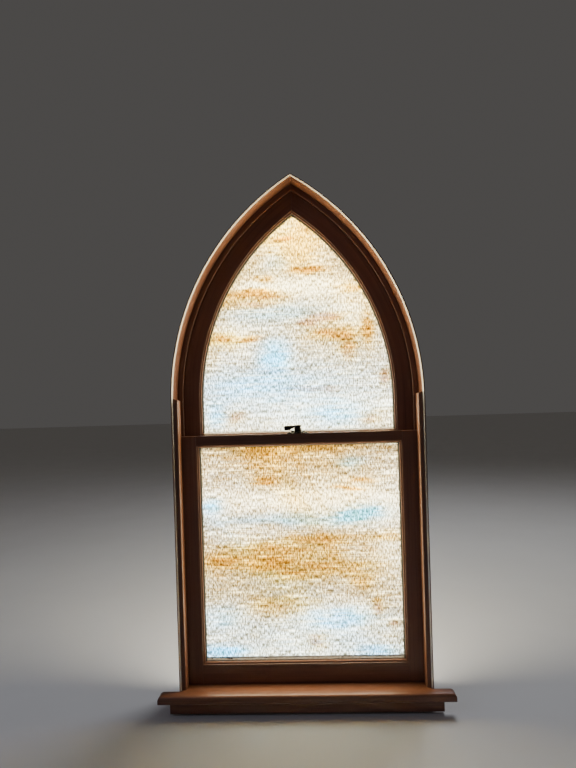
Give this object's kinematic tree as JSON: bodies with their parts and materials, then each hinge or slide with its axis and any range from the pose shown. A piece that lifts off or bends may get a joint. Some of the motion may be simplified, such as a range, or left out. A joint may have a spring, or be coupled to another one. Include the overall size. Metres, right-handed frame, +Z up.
{
  "type": "stained glass window",
  "caption": "Pointed-arch wooden sash window with streaky art glass panes, a sliding lower sash, a sash lock, a stool and an apron.",
  "frame": {"origin": "on the flat underside of the sill, in the middle of the frame's width and depth", "axes": "+X to the right seen from the room, +Y through the wall to the outside, +Z up"},
  "size_m": [0.886, 0.196, 1.6396],
  "materials": {
    "stained_wood": "dark red-brown stain under satin varnish",
    "weathered_wood": "stained wood, duller on the weather side",
    "pale_paint": "off-white paint on wood, satin",
    "dark_bronze": "cast, oil-rubbed bronze, nearly black",
    "art_glass": "streaky opalescent sheet, hammered on one face"
  },
  "bodies": {
    "root": {"apron": "stained_wood", "arch_left": "stained_wood", "arch_right": "stained_wood", "edge_strip_left": "pale_paint", "edge_strip_right": "pale_paint", "jamb_left": "stained_wood", "jamb_right": "stained_wood", "lock_keeper": "dark_bronze", "parting_arch_left": "stained_wood", "parting_arch_right": "stained_wood", "parting_stop_left": "stained_wood", "parting_stop_right": "stained_wood", "side_stop_left": "stained_wood", "side_stop_right": "stained_wood", "sill": "weathered_wood", "stool": "stained_wood", "upper_bead_bottom": "weathered_wood", "upper_bead_left": "weathered_wood", "upper_bead_right": "weathered_wood", "upper_glass": "art_glass", "upper_meeting_rail": "stained_wood", "upper_stile_left": "stained_wood", "upper_stile_right": "stained_wood"},
    "lower_sash": {"lower_bead_bottom": "weathered_wood", "lower_bead_left": "weathered_wood", "lower_bead_right": "weathered_wood", "lower_bead_top": "weathered_wood", "lower_bottom_rail": "stained_wood", "lower_glass": "art_glass", "lower_meeting_rail": "stained_wood", "lower_stile_left": "stained_wood", "lower_stile_right": "stained_wood", "lock_base": "dark_bronze"},
    "lock_lever": {"lock_lever": "dark_bronze"}
  },
  "joints": [
    {"name": "sash_slide", "type": "slide", "parent": "root", "child": "lower_sash", "axis": [0, 0, 1], "range_m": [0, 0.15]},
    {"name": "lock_turn", "type": "hinge", "parent": "lower_sash", "child": "lock_lever", "pos_m": [-0.0015, -0.007, 0.845], "axis": [0, 0, 1], "range_deg": [0, 150]}
  ]
}
